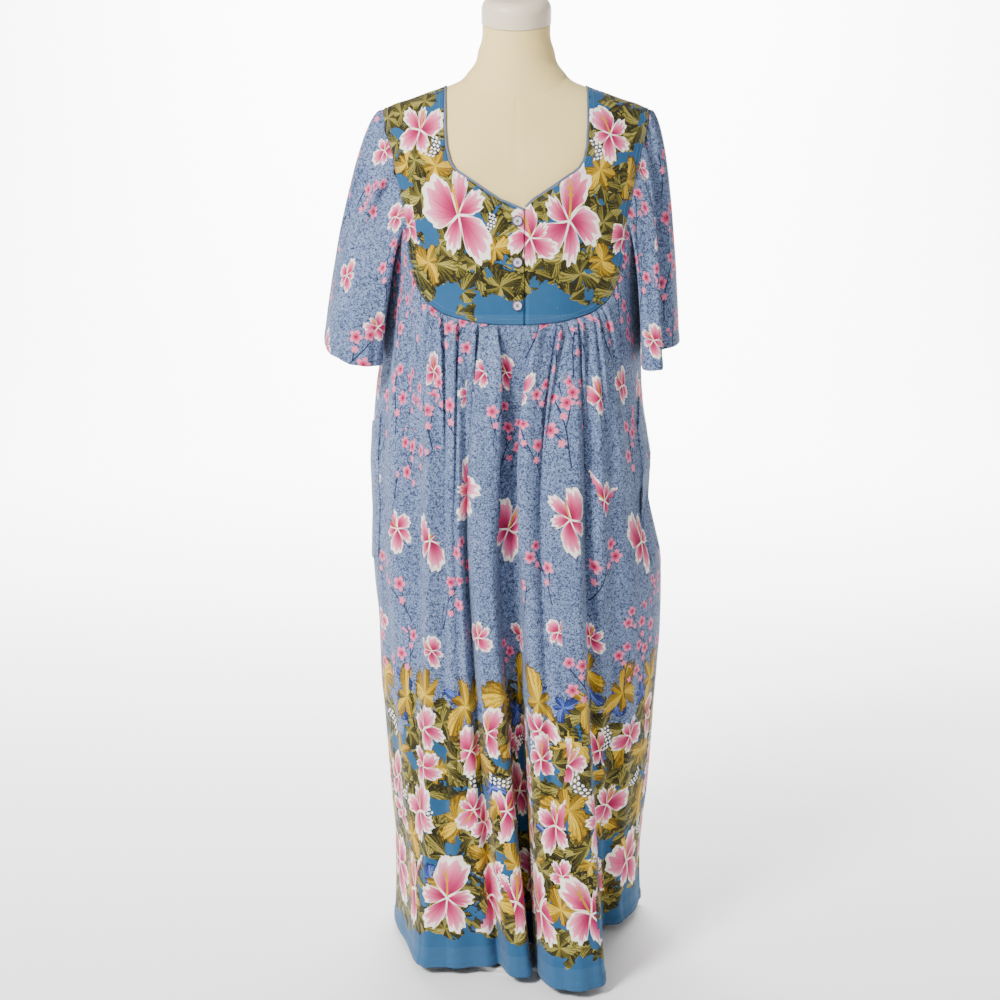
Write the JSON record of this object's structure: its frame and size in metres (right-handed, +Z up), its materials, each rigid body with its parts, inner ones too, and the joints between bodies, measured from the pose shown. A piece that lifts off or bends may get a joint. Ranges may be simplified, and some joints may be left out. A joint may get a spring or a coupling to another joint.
{
  "type": "muumuu dress on a limbless dress form",
  "caption": "Full-length loose dress with a buttoned yoke, pleated skirt and short flared sleeves, standing on a limbless dress form with a round base.",
  "frame": {"origin": "centre of the base plate's underside, on the floor", "axes": "+Z up, -Y to the front of the dress, -X to the wearer's right"},
  "size_m": [0.5225, 0.3808, 1.4493],
  "materials": {
    "border_print": "woven cotton, dense floral border print",
    "skirt_print": "woven cotton, speckled ground with a floral border at the hem",
    "sleeve_print": "woven cotton, speckled ground with small flowers",
    "binding": "folded cotton",
    "button": "pearl",
    "form_linen": "plain woven cover",
    "form_cap": "satin",
    "stand_steel": "satin enamel"
  },
  "bodies": {
    "root": {"front_yoke_right": "border_print", "front_yoke_left": "border_print", "back_yoke": "border_print", "skirt_front": "skirt_print", "skirt_back": "skirt_print", "sleeve_right": "sleeve_print", "sleeve_left": "sleeve_print", "pocket_right": "sleeve_print", "pocket_left": "sleeve_print", "neck_binding": "binding", "button_1": "button", "button_2": "button", "button_3": "button", "form_body": "form_linen", "form_cap": "form_cap", "stand_pole": "stand_steel", "stand_base": "stand_steel"}
  },
  "joints": []
}
